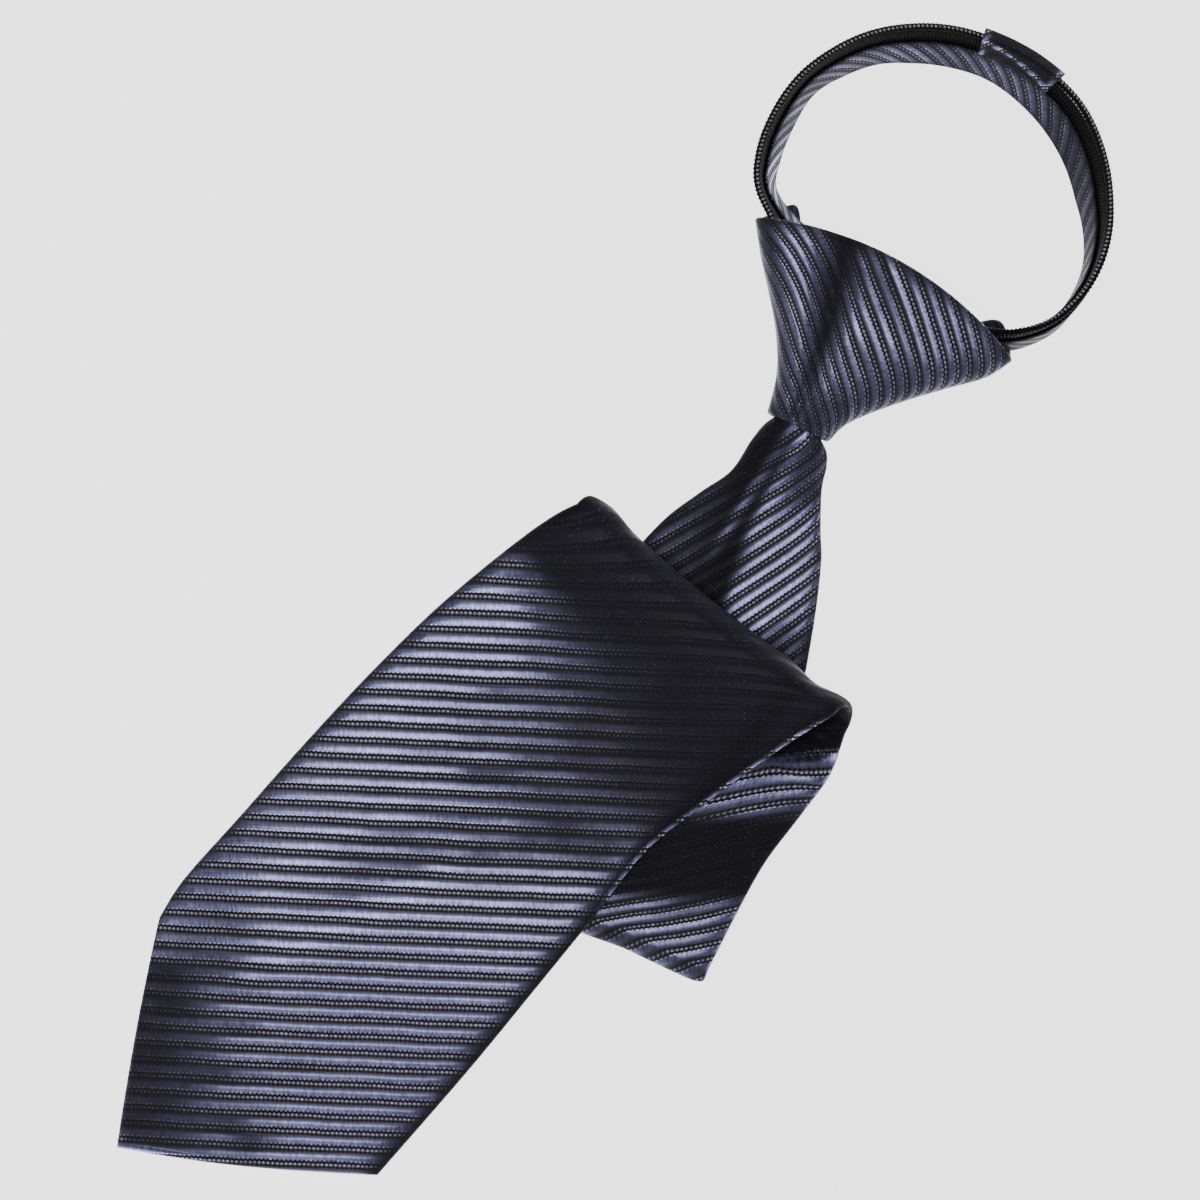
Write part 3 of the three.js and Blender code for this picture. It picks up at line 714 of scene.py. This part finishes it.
# the weave on the front, on the back's right half, and on its left half at the seam between them
def bladeWeave(flat, way, across, centre):
    b = blade
    offset = flat - flat[:, [centre]]
    u = (offset * way[:, None, :]).sum(-1)
    rest = offset - u[..., None] * way[:, None, :]
    # the back panels go on from the front round each edge
    right = np.arange(len(across)) >= centre
    uBack = np.where(right[None, :], 2 * u[:, [-1]] - u, 2 * u[:, [0]] - u)
    flatBack = flat[:, [centre]] + uBack[..., None] * way[:, None, :] + rest
    uSeam = (2 * u[:, [0]] - u)[..., None] * way[:, None, :]
    flatSeam = flat[:, [centre]] + uSeam + rest
    inNeck = smooth(*b["gatherRows"], np.arange(len(flat)))[:, None]
    curl = b["neckCurl"] * np.clip((across + 0.1) / 1.1, 0, 1) ** 2 * inNeck

    def laidOut(sheet, degrees):
        s, c = math.sin(math.radians(degrees)), math.cos(math.radians(degrees))
        laid = sheet @ np.array([[s, c], [c, -s]])
        laid[..., 0] = laid[..., 0] * mix(1, b["neckGather"], inNeck) + curl
        return laid

    return laidOut(flat, b["ribAngle"]), laidOut(flatBack, b["backAngle"]), laidOut(flatSeam, b["backAngle"])


def buildBlade():
    b = blade
    # columns from the middle out, closer towards the edges
    half = np.concatenate([np.arange(0, 0.9, 0.045), [0.905, 0.94, 0.965, 0.982, 0.993, 1.0]])
    across = np.concatenate([-half[:0:-1], half])
    centre = len(half) - 1
    points, before, pull, pullWay, thick, nap = bladeLayers(across)
    rows, cols = points.shape[:2]
    fan = np.arange(rows) - (rows - int(b["topRun"] / b["step"]) - len(b["endSteps"]))
    skew = math.radians(b["foldSkew"]) * np.diff(smooth(*b["fanRows"], fan), append=1)
    flat, way = layOut(points, before, pull, pullWay, centre, skew)
    normals = unit(np.cross(np.gradient(points, axis=1), np.gradient(points, axis=0)))
    if normals[5, centre, 2] < 0:
        normals = -normals
    neckRound = 1 - smooth(0.35, 0.7, np.arange(rows) / (b["neckRun"] / b["step"]))[:, None]
    edge = np.abs(across)[None, :]
    profile = mix(np.sqrt(np.maximum(1 - edge**16, 0)), np.maximum(1 - edge**3.2, 0) ** 0.5, neckRound)
    reach = (thick[:, None] / 2 * profile)[..., None] * normals
    back = (points - reach)[:, ::-1][:, 1:-1]
    ring = np.concatenate([points + reach, back], axis=1)
    weaveFront, weaveBack, weaveSeam = bladeWeave(flat, way, across, centre)
    weave = np.concatenate([weaveFront, weaveBack[:, ::-1][:, 1:-1]], axis=1)
    nap = np.concatenate([nap, nap[:, ::-1][:, 1:-1]], axis=1)
    far = weave.copy()
    seamAt = cols + (cols - 1 - centre) - 1  # the back's middle column in the ring
    weave[:, seamAt] = weaveSeam[:, centre]
    piece = gridPiece("blade_cloth", ring, weave, "strip", far, nap)
    return finishPiece(piece, satinCloth, "ribbed_satin", "blade")


bladeCloth = buildBlade()
print("blade built")


# the knot's hollow wrapped form, from its mouth down
knot = {
    "wall": 2.0,
    "mouthBulge": 7.0,
    "backBulge": 2.0,
    "lipDeep": 0.35,
    "lipSteps": 5,
    # the back reaches further out of the mouth at its two corners, placed by share of its width
    "tabs": [{"reach": 8.6, "at": 0.09, "wide": 0.06}, {"reach": 8.0, "at": 0.915, "wide": 0.085}],
    "valleyDeep": 2.4,
    "valleyWide": 0.085,
    "mouthFullness": 0.36,
    "endFullness": 0.6,
    "steps": 90,
    "around": 220,
    "ribLean": 0.35,  # sideways run of a rib for each mm down, in the right lobe
    "ribBend": 1.4,
    # its run in the left lobe, each 6 mm down
    "leftRib": (-12.6, -9.8, -7, -4.3, -1.9, 0, 1.5, 3, 4.9, 7.3, 9.9),
    "ribScale": 1.2,  # its cloth is pulled narrow, so its ribs lie closer, most so on the left
    "ribSqueeze": 0.12,
    "valleyLine": ((50, 58, 69.5, 78, 86), (44.9, 47.6, 50.4, 52.3, 54.6)),  # y, then x
    "leftLine": ((44, 50, 56, 64, 72, 79, 87), (36.0, 37.1, 37.5, 37.5, 35.6, 34.2, 33.1)),
    "rows": [
        {"left": (32.6, 88.5), "right": (92.0, 55.4), "height": 19.4, "valley": 0.27},
        {"left": (34.0, 80.0), "right": (86.2, 51.8), "height": 19.4, "valley": 0.28},
        {"left": (36.0, 71.0), "right": (77.5, 49.4), "height": 19.4, "valley": 0.29},
        {"left": (37.5, 62.5), "right": (68.0, 46.6), "height": 18.0, "valley": 0.3},
        {"left": (37.8, 54.5), "right": (58.5, 43.2), "height": 16.0, "valley": 0.33},
        {"left": (36.8, 48.6), "right": (53.4, 40.6), "height": 14.2, "valley": 0.36},
        {"left": (35.6, 44.4), "right": (50.2, 37.4), "height": 13.0, "valley": 0.38},
    ],
}


def knotSkin(down, turn, wall):
    k = knot
    at = down * (len(k["rows"]) - 1)
    left, right = column(k["rows"], "left", at), column(k["rows"], "right", at)
    height, valley = column(k["rows"], "height", at)[:, None], column(k["rows"], "valley", at)[:, None]
    d = right - left
    width = np.hypot(d[:, 0], d[:, 1])[:, None]
    sine, cosine = np.sin(turn)[None, :], np.cos(turn)[None, :]
    front = sine >= 0
    fullness = mix(k["mouthFullness"], k["endFullness"], down)[:, None]
    sideways = np.sign(cosine) * np.abs(cosine) ** np.where(front, 0.75, 0.5) * (1 - 2 * wall / width)
    share = (sideways + 1) / 2
    swell = np.sign(sine) * np.abs(sine) ** np.where(front, fullness, 0.3)
    z = height / 2 + swell * (height / 2 - wall)
    dent = k["valleyDeep"] * gaussian(share - valley, k["valleyWide"]) * sine**2
    z = z - np.where(front, dent * smooth(0, 0.2, down + 0.06)[:, None], 0)
    bulge = np.where(front, k["mouthBulge"], k["backBulge"]) * (1 - sideways**2) * (1 - down[:, None]) ** 2
    corners = sum(tab["reach"] * gaussian(share - tab["at"], tab["wide"]) for tab in k["tabs"])
    bulge = bulge + np.where(front, 0, corners) * np.abs(sine) ** 0.5 * (1 - down[:, None]) ** 8
    x = mix(left[:, :1], right[:, :1], share) - d[:, 1:] / width * bulge
    y = mix(left[:, 1:], right[:, 1:], share) + d[:, :1] / width * bulge
    return np.stack([x, y, z], -1)


# one grid of rows, that starts and ends inside where no one sees its seam
def knotShell(turn):
    k = knot
    down = np.linspace(0, 1, k["steps"])
    outer, inner = knotSkin(down, turn, 0.0), knotSkin(down, turn, k["wall"])

    # the wall's rounded lip, at the mouth or at the lower end
    def lip(a, b, beyond):
        ways = unit(beyond) * (k["wall"] * k["lipDeep"])
        steps = np.linspace(0, math.pi, k["lipSteps"] + 2)[1:-1]
        return np.stack([(a + b) / 2 + (a - b) / 2 * math.cos(t) + ways * math.sin(t) for t in steps])

    mouthLip = lip(outer[0], inner[0], outer[0] - outer[1])
    endLip = lip(outer[-1], inner[-1], outer[-1] - outer[-2])
    half = len(inner) // 2
    return np.concatenate([inner[:half][::-1], mouthLip[::-1], outer, endLip, inner[half:][::-1]]), outer[0]


# how far a place lies above the right lobe's lower rim
def aboveRim(shell):
    return shell[..., 1] - 0.27 * shell[..., 0] - 28.6


# each section is rolled out flat beside its middle, and the ribs are drawn on that plan
def knotWeave(shell):
    k = knot
    steps = np.linalg.norm(np.roll(shell, -1, axis=1) - shell, axis=-1)
    u = np.concatenate([np.zeros((len(shell), 1)), np.cumsum(steps, axis=1)[:, :-1]], axis=1)
    total = u[:, -1] + steps[:, -1]
    quarter, half = k["around"] // 4, k["around"] // 2
    centre = shell[:, quarter, :2]
    sideWay = unit(shell[:, 0, :2] - shell[:, half, :2])
    fromRim = aboveRim(shell)

    def ribs(fromRight):
        plan = centre[:, None, :] - (fromRight - u[:, [quarter]])[..., None] * sideWay[:, None, :]
        low = 70 - plan[..., 1]
        leftRun = curve(k["leftRib"], np.clip((low + 30) / 6, 0, len(k["leftRib"]) - 1))
        rightRun = k["ribLean"] * (21 - fromRim) - k["ribBend"] * np.maximum(1 - fromRim / 12, 0) ** 3
        run = mix(leftRun, rightRun, smooth(40, 62, plan[..., 0]))
        across = plan[..., 0] - run
        across = across * k["ribScale"] + k["ribSqueeze"] * np.minimum(across - 50, 0)
        return np.stack([across, low + 0.2 * plan[..., 0]], -1)

    weave = ribs(u)
    far = weave.copy()
    far[:, 0] = ribs(np.repeat(total[:, None], u.shape[1], axis=1))[:, 0]
    return weave, far


# painted sheen and shade: painted shade in the valley, towards every edge, and on the back's two tabs
def knotPaintedLight(shell, mouth, turn):
    k = knot
    x, y = shell[..., 0], shell[..., 1]
    fromValley, fromLeft = (x - np.interp(y, *k[line]) for line in ("valleyLine", "leftLine"))
    fromMouth = np.linalg.norm(shell - mouth, axis=-1)
    deep = mix(0.4, 0.9, smooth(44, 62, y))
    nap = 1 - deep * gaussian(fromValley, mix(3.0, 5.2, smooth(55, 80, y)))
    nap = nap * mix(0.6, 0.7, smooth(9, -2, fromValley))
    nap = nap * mix(0.5, 1, smooth(1, 9, aboveRim(shell))) * mix(0.4, 1, smooth(0, 3.5, fromMouth))
    nap = nap * mix(0.32, 1, smooth(1.5, 6, fromLeft))
    return nap * (1 - 0.7 * smooth(0, -0.3, np.sin(turn))[None, :] * smooth(11, 6, fromMouth))


def buildKnot():
    turn = np.linspace(0, 2 * math.pi, knot["around"], endpoint=False)
    shell, mouth = knotShell(turn)
    weave, far = knotWeave(shell)
    piece = gridPiece("knot_cloth", shell, weave, "ring", far, knotPaintedLight(shell, mouth, turn))
    return finishPiece(piece, satinCloth, "ribbed_satin", "knot")


knotCloth = buildKnot()
print("knot built")


# the neck loop, by bearing round its centre: radii of the band's upper and lower edge
loop = {
    "centre": (74.3, 94.1),
    "width": 13.2,
    "thick": 2.6,
    "tapeThick": 0.8,
    "tapeTuck": 2.4,
    "clothShare": 0.6,
    "teethTall": 1.9,
    "teethThick": 2.0,
    "gap": 0.3,
    "sleeveWall": 0.75,
    "sleeveGap": 0.12,
    "join": 58,  # the bearing where the two sides of the zipper meet, under the sleeve
    "sleeve": (73, 43),
    "joinGap": 0.4,  # in degrees, on each side
    "coilPitch": 1.0,
    "wire": 0.4,
    "fillerReach": (0.6, 0.65),  # below and above the coil's middle
    "fillerHalf": 0.72,
    # for each row: its bearing, the radii of the teeth's and of the cloth's edge, and its lift
    "rows": [dict(zip(("bearing", "teeth", "cloth", "lift"), row)) for row in (
        (206, 37.6, 30.0, 2.7), (197, 37.0, 30.0, 2.7), (188, 38.6, 33.0, 2.0),
        (176, 41.6, 37.6, 0.4), (166, 42.4, 37.7, 0.1), (153, 42.4, 37.6, 0), (138, 42.2, 38.0, 0),
        (125, 41.6, 36.4, 0), (112, 41.1, 35.0, 0), (98, 40.4, 33.0, 0), (82, 39.8, 31.9, 0),
        (66, 39.3, 31.6, 0), (48, 40.0, 31.1, 0), (32, 41.1, 31.4, 0), (16, 41.2, 32.6, 0),
        (0, 41.4, 34.4, 0), (-12, 41.8, 37.2, 0), (-24, 41.8, 39.8, 0.1), (-36, 41.2, 41.0, 0.4),
        (-48, 39.6, 41.2, 0.8), (-60, 36.6, 39.6, 2.3), (-69, 33.4, 37.6, 2.7),
        (-78, 29.6, 35.4, 2.7))],
}
clothTop = loop["width"] * loop["clothShare"]
tapeFoot = clothTop - loop["tapeTuck"]
tapeTop = loop["width"] - loop["teethTall"] - loop["gap"]
bandEnds = (loop["rows"][0]["bearing"], loop["rows"][-1]["bearing"])


# the band's foot, its way up the band and its way outwards, at each bearing
def bandFrame(bearings):
    rows = loop["rows"]
    marks = np.array([row["bearing"] for row in rows], float)
    at = np.interp(-bearings, -marks, np.arange(len(rows)))
    teeth, cloth = column(rows, "teeth", at), column(rows, "cloth", at)
    lift = np.maximum(column(rows, "lift", at), 0)
    wide = loop["width"]
    rise = np.sqrt(wide**2 - (teeth - cloth) ** 2)
    angle = np.radians(bearings)
    away = np.stack([np.cos(angle), np.sin(angle), 0 * angle], -1)
    level = (teeth - cloth) / wide
    up = away * level[:, None]
    up[:, 2] = rise / wide
    out = away * (rise / wide)[:, None]
    out[:, 2] = -level
    foot = away * cloth[:, None]
    foot[:, 0] += loop["centre"][0]
    foot[:, 1] += loop["centre"][1]
    foot[:, 2] = lift + np.abs(out[:, 2]) * loop["thick"] / 2
    return foot, up, out


def bandPoints(section, bearings):
    foot, up, out = bandFrame(bearings)
    section = np.array(section)
    high, offset = section[:, 0][None, :, None], section[:, 1][None, :, None]
    return foot[:, None] + high * up[:, None] + offset * out[:, None]


def lengthAlong(points):
    middle = points.mean(axis=1)
    return np.concatenate([[0], np.cumsum(np.linalg.norm(np.diff(middle, axis=0), axis=1))])


def bandSweep(name, section, bearings, ribAngle, paintedLightAt=None, ribScale=1.0):
    points = bandPoints(section, bearings)
    section = np.array(section)
    around = np.concatenate([[0], np.cumsum(np.linalg.norm(np.diff(section, axis=0), axis=1))])
    whole = around[-1] + np.linalg.norm(section[0] - section[-1])
    along = lengthAlong(points)
    s, c = math.sin(math.radians(ribAngle)), math.cos(math.radians(ribAngle))

    def turned(a):
        u, v = np.broadcast_to(a[None, :], points.shape[:2]), along[:, None]
        return np.stack([(u * c + v * s) * ribScale, v * c - u * s], -1)

    weave = turned(around)
    far = weave.copy()
    far[:, 0] = turned(np.full(len(around), whole))[:, 0]
    nap = None
    if paintedLightAt is not None:
        nap = paintedLightAt(bearings[:, None], section[None, :, 0]) * np.ones(points.shape[:2])
    return gridPiece(name, points, weave, "flat", far, nap)


def rounded(section, steps=4, size=0.5):
    corners = np.array(section)
    out = []
    for i, corner in enumerate(corners):
        before, after = corners[i - 1], corners[(i + 1) % len(corners)]
        reachIn = min(size, np.linalg.norm(before - corner) * 0.45)
        reachOut = min(size, np.linalg.norm(after - corner) * 0.45)
        a, b = corner + unit(before - corner) * reachIn, corner + unit(after - corner) * reachOut
        for t in np.linspace(0, 1, steps):
            out.append((1 - t) ** 2 * a + 2 * t * (1 - t) * corner + t**2 * b)
    return out


def buildBand():
    half, slot = loop["thick"] / 2, loop["tapeThick"] / 2 + loop["gap"]
    section = rounded([
        (0, half), (clothTop * 0.33, half), (clothTop * 0.66, half), (clothTop, half), (clothTop, slot),
        (tapeFoot - loop["gap"], slot), (tapeFoot - loop["gap"], -slot), (clothTop, -slot),
        (clothTop, -half), (clothTop * 0.66, -half), (clothTop * 0.33, -half), (0, -half)], 4, 0.6)

    # painted sheen along the band, rising from bearing 8 to 50 and peaking near 172, with painted shade
    # along its lower edge and where its cloth meets the tape
    def paintedLightAt(bearings, high):
        lit = 0.2 + 0.15 * smooth(8, 50, bearings) + 0.25 * gaussian(bearings - 172, 16)
        lit = lit * mix(0.3, 1, smooth(0, 1.6, high))
        return lit * mix(0.5, 1, smooth(clothTop, clothTop - 1.6, high))

    bearings = np.arange(bandEnds[0], bandEnds[1] - 0.01, -1.0)
    piece = bandSweep("band_cloth", section, bearings, -45, paintedLightAt, 1.25)
    return finishPiece(piece, satinCloth, "ribbed_satin", "neck_band")


def buildTape(side, start, end):
    half = loop["tapeThick"] / 2
    section = rounded([(tapeFoot, half), (tapeTop, half), (tapeTop, -half), (tapeFoot, -half)], 3, 0.2)
    count = int(abs(end - start)) + 1
    piece = bandSweep("tape_" + side, section, np.linspace(start, end, count), 0)
    return finishPiece(piece, tapeWoven, "zipper_tape", "zipper_tape_" + side)


# a flattened spiral of nylon along the tape's edge
def buildCoil(side, start, end):
    middle = loop["width"] - loop["teethTall"] / 2
    wire = loop["wire"]
    tall, deep = loop["teethTall"] / 2 - wire, loop["teethThick"] / 2 - wire
    track = bandPoints([(middle, 0)], np.linspace(start, end, 400))[:, 0]
    length = np.concatenate([[0], np.cumsum(np.linalg.norm(np.diff(track, axis=0), axis=1))])
    turns = int(length[-1] / loop["coilPitch"])
    perTurn, sides = 10, 5
    t = np.linspace(0, 1, turns * perTurn + 1)
    bearings = start + (end - start) * np.interp(t * length[-1], length, np.linspace(0, 1, 400))
    foot, up, out = bandFrame(bearings)
    turn = t * turns * 2 * math.pi
    high, aside = np.cos(turn), np.sin(turn)
    high = middle + tall * np.sign(high) * np.abs(high) ** 0.7
    aside = deep * np.sign(aside) * np.abs(aside) ** 0.7
    line = foot + high[:, None] * up + aside[:, None] * out
    way = unit(np.gradient(line, axis=0))
    side1 = unit(np.cross(way, np.cross(up, out)))
    side2 = np.cross(way, side1)
    angles = np.linspace(0, 2 * math.pi, sides, endpoint=False)
    ring = np.cos(angles)[None, :, None] * side1[:, None] + np.sin(angles)[None, :, None] * side2[:, None]
    points = line[:, None] + wire * ring
    weave = np.zeros((*points.shape[:2], 2))
    weave[..., 0] = (t * turns)[:, None]
    # the outer face of each turn glints, apart from those beside the knot's right end
    glint = smooth(-58, -42, bearings)[:, None] * np.maximum(np.cos(angles), 0)[None, :] ** 2
    piece = gridPiece("coil_" + side, points, weave, "flat", nap=glint)
    finishPiece(piece, coilNylon, "zipper_coil", "zipper_teeth_" + side)
    # the filler cord that the coil is wound on
    low, high, half = middle - loop["fillerReach"][0], middle + loop["fillerReach"][1], loop["fillerHalf"]
    section = rounded([(low, half), (high, half), (high, -half), (low, -half)], 3, 0.3)
    cord = bandSweep("filler_" + side, section, np.linspace(start, end, 160), 0)
    return finishPiece(cord, tapeWoven, "zipper_tape", "zipper_teeth_" + side)


def buildSleeve():
    inside = loop["teethThick"] / 2 + loop["sleeveGap"]
    outside = inside + loop["sleeveWall"]
    low, high = clothTop + loop["gap"], loop["width"] + loop["sleeveGap"]
    top = high + loop["sleeveWall"]
    face = np.linspace(low, top - 0.4, 7)
    section = rounded([
        *((h, outside) for h in face), (top, outside - 0.4), (top, 0.4 - outside),
        *((h, -outside) for h in face[::-1]), (low, -inside),
        (high, -inside), (high, inside), (low, inside)], 4, 0.45)
    bearings = np.linspace(*loop["sleeve"], 60)

    # painted highlight along a crease across the sleeve and at its two ends, over painted shade
    def paintedLightAt(bearings, tall):
        start, end = loop["sleeve"]
        crease = mix(top - 0.6, low + 1.2, (start - bearings) / (start - end))
        ends = gaussian(bearings - start + 1.2, 0.9) + gaussian(bearings - end - 1.2, 0.9)
        return 0.05 + 0.9 * gaussian(tall - crease, 0.6) + 0.5 * ends

    piece = bandSweep("sleeve_cloth", section, bearings, 50, paintedLightAt, 1.25)
    return finishPiece(piece, satinCloth, "ribbed_satin", "loop_sleeve")


bandCloth = buildBand()
for build in (buildTape, buildCoil):
    build("left", bandEnds[0], loop["join"] + loop["joinGap"])
    build("right", loop["join"] - loop["joinGap"], bandEnds[1])
sleeveCloth = buildSleeve()
for slotOf in bpy.data.objects["zipper_slider"].material_slots:
    slotOf.material = lacquer
print("loop built")


# floor, light and camera
studio = {
    "cameraHigh": 1.4,
    "cameraX": -0.00364,
    "widthSeen": 0.282,
    "tent": 0.8,  # brightness of the white walls round the table
    "table": 2.4,  # glow of the white table
    "ceiling": 0.02,
    "floorSize": 6,
    "floorZ": -0.0002,
    "softbox": {"place": (-0.26, -0.03, 2.2), "size": (0.7, 1.2), "watts": 18.5},
}


def buildStudio():
    bpy.ops.object.select_all(action="DESELECT")
    bpy.ops.mesh.primitive_plane_add(size=studio["floorSize"], location=(0, 0, studio["floorZ"]))
    floor = bpy.context.object
    floor.name = "floor"
    material, tree, shader = newMaterial("pale_floor")
    feed(tree, shader, Base_Color=(0.9, 0.9, 0.9, 1), Roughness=0.9)
    feed(tree, shader, Emission_Color=(1, 1, 1, 1), Emission_Strength=studio["table"])
    floor.data.materials.append(material)
    box = studio["softbox"]
    data = bpy.data.lights.new("softbox", "AREA")
    data.shape = "RECTANGLE"
    data.size, data.size_y = box["size"]
    data.energy = box["watts"]
    lamp = bpy.data.objects.new("softbox", data)
    lamp.location = box["place"]
    lamp.rotation_euler = (-Vector(box["place"])).to_track_quat("-Z", "Y").to_euler()
    bpy.context.scene.collection.objects.link(lamp)
    world = bpy.data.worlds.new("studio")
    world.use_nodes = True
    tree = world.node_tree
    way = node(tree, "ShaderNodeTexCoord", {}, (), 0)
    up = node(tree, "ShaderNodeSeparateXYZ", {}, (way,), 2)
    walls = ramp(tree, up, (0.0, 1.0), (0.36, 1.0), (0.62, 0.0))
    light = walls * studio["tent"] + studio["ceiling"]
    back = tree.nodes["Background"]
    back.inputs["Color"].default_value = (1, 1, 1, 1)
    tree.links.new(light.socket, back.inputs["Strength"])
    bpy.context.scene.world = world
    lens = bpy.data.cameras.new("camera")
    lens.sensor_width = 36
    lens.lens = 36 * studio["cameraHigh"] / studio["widthSeen"]
    camera = bpy.data.objects.new("camera", lens)
    camera.location = (studio["cameraX"], 0, studio["cameraHigh"])
    bpy.context.scene.collection.objects.link(camera)
    bpy.context.scene.camera = camera


buildStudio()
print("studio built")
